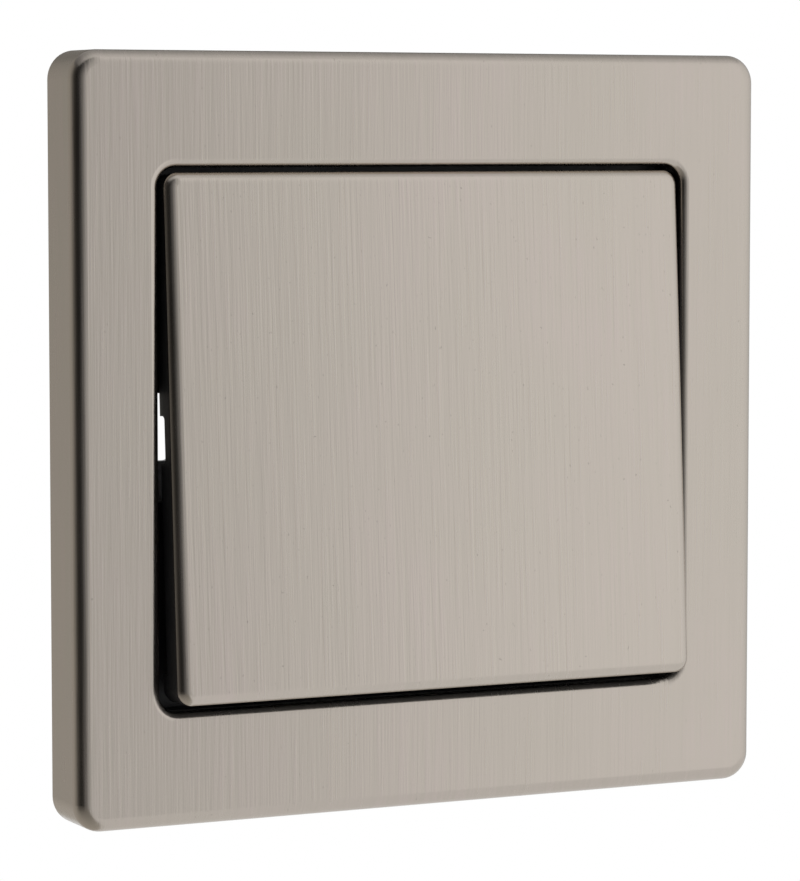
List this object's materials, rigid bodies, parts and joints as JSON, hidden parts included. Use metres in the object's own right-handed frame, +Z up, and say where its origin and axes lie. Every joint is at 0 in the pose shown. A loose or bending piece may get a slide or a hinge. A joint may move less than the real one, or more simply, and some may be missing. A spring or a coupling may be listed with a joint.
{
  "type": "two-way light switch",
  "caption": "Flush two-way wall light switch: square brushed metal frame, one large tilting rocker, steel ring, mechanism housing and spreading claws.",
  "frame": {"origin": "centre of the two box screws on the wall plane", "axes": "+X right, +Y into the wall, +Z up"},
  "size_m": [0.08, 0.0357, 0.08],
  "materials": {
    "brushed_metal": "satin brushed, fine vertical lines",
    "black_plastic": "matte moulded",
    "zinc_steel": "zinc plated, satin",
    "screw_steel": "yellow zinc plated",
    "housing_plastic": "matte moulded",
    "plate_plastic": "matte moulded",
    "toggle_plastic": "smooth moulded",
    "button_plastic": "smooth moulded",
    "plunger_plastic": "polished",
    "spring_steel": "bright spring steel",
    "copper_alloy": "bright rolled strip",
    "contact_silver": "bright"
  },
  "bodies": {
    "base": {"frame_cover": "brushed_metal", "frame_carrier": "black_plastic", "support_ring": "zinc_steel", "bearing_plate": "plate_plastic", "housing": "housing_plastic", "assembly_screws": "screw_steel", "common_terminal": "copper_alloy", "fixed_contact_upper": "copper_alloy", "fixed_contact_lower": "copper_alloy", "fixed_rivets": "contact_silver", "clamp_spring_common": "spring_steel", "clamp_spring_upper": "spring_steel", "clamp_spring_lower": "spring_steel", "claw_pin_left": "zinc_steel", "claw_pin_right": "zinc_steel"},
    "rocker": {"rocker_plate": "brushed_metal", "rocker_body": "black_plastic", "toggle": "toggle_plastic", "plunger_spring": "spring_steel"},
    "plunger": {"plunger": "plunger_plastic"},
    "bridge": {"contact_bridge": "copper_alloy", "moving_contacts": "contact_silver"},
    "button_common": {"release_button_common": "button_plastic"},
    "button_upper": {"release_button_upper": "button_plastic"},
    "button_lower": {"release_button_lower": "button_plastic"},
    "claw_left": {"claw_left": "zinc_steel"},
    "claw_nut_left": {"claw_nut_left": "screw_steel"},
    "claw_screw_left": {"claw_screw_left": "screw_steel"},
    "claw_right": {"claw_right": "zinc_steel"},
    "claw_nut_right": {"claw_nut_right": "screw_steel"},
    "claw_screw_right": {"claw_screw_right": "screw_steel"}
  },
  "joints": [
    {"name": "rocker_tilt", "type": "hinge", "parent": "base", "child": "rocker", "pos_m": [0, -0.00385, 0], "axis": [1, 0, 0], "range_deg": [0, 6.92]},
    {"name": "plunger_slide", "type": "slide", "parent": "rocker", "child": "plunger", "axis": [0, 0.9982, -0.0604], "range_m": [-0.0008, 0], "stiffness_N_per_m": 300, "springref_m": 0.003, "deforming": ["plunger_spring"]},
    {"name": "bridge_tilt", "type": "hinge", "parent": "base", "child": "bridge", "pos_m": [0, 0.0095, 0], "axis": [1, 0, 0], "range_deg": [-19.2, 0]},
    {"name": "button_press_common", "type": "slide", "parent": "base", "child": "button_common", "axis": [0, -1, 0], "range_m": [0, 0.001], "stiffness_N_per_m": 500, "springref_m": -0.001, "deforming": ["clamp_spring_common"]},
    {"name": "button_press_upper", "type": "slide", "parent": "base", "child": "button_upper", "axis": [0, -1, 0], "range_m": [0, 0.001], "stiffness_N_per_m": 500, "springref_m": -0.001, "deforming": ["clamp_spring_upper"]},
    {"name": "button_press_lower", "type": "slide", "parent": "base", "child": "button_lower", "axis": [0, -1, 0], "range_m": [0, 0.001], "stiffness_N_per_m": 500, "springref_m": -0.001, "deforming": ["clamp_spring_lower"]},
    {"name": "claw_screw_turn_left", "type": "hinge", "parent": "base", "child": "claw_screw_left", "pos_m": [-0.02292, 0, -0.0106], "axis": [0, 1, 0], "range_deg": [0, 1234.3]},
    {"name": "claw_spread_left", "type": "hinge", "parent": "base", "child": "claw_left", "pos_m": [-0.0185, 0.007, 0], "axis": [0, 0, 1], "range_deg": [0, 30.92]},
    {"name": "claw_nut_turn_left", "type": "hinge", "parent": "claw_left", "child": "claw_nut_left", "pos_m": [-0.02284, 0.0082, 0], "axis": [0, 0, -1], "range_deg": [0, 30.92]},
    {"name": "claw_screw_turn_right", "type": "hinge", "parent": "base", "child": "claw_screw_right", "pos_m": [0.02292, 0, 0.0106], "axis": [0, 1, 0], "range_deg": [0, 1234.3]},
    {"name": "claw_spread_right", "type": "hinge", "parent": "base", "child": "claw_right", "pos_m": [0.0185, 0.007, 0], "axis": [0, 0, -1], "range_deg": [0, 30.92]},
    {"name": "claw_nut_turn_right", "type": "hinge", "parent": "claw_right", "child": "claw_nut_right", "pos_m": [0.02284, 0.0082, 0], "axis": [0, 0, 1], "range_deg": [0, 30.92]}
  ],
  "couplings": [
    {"joint": "bridge_tilt", "follows": "rocker_tilt", "ratio": -2.7746},
    {"joint": "claw_spread_left", "follows": "claw_screw_turn_left", "ratio": 0.025051},
    {"joint": "claw_nut_turn_left", "follows": "claw_screw_turn_left", "ratio": 0.025051},
    {"joint": "claw_spread_right", "follows": "claw_screw_turn_right", "ratio": 0.025051},
    {"joint": "claw_nut_turn_right", "follows": "claw_screw_turn_right", "ratio": 0.025051}
  ]
}
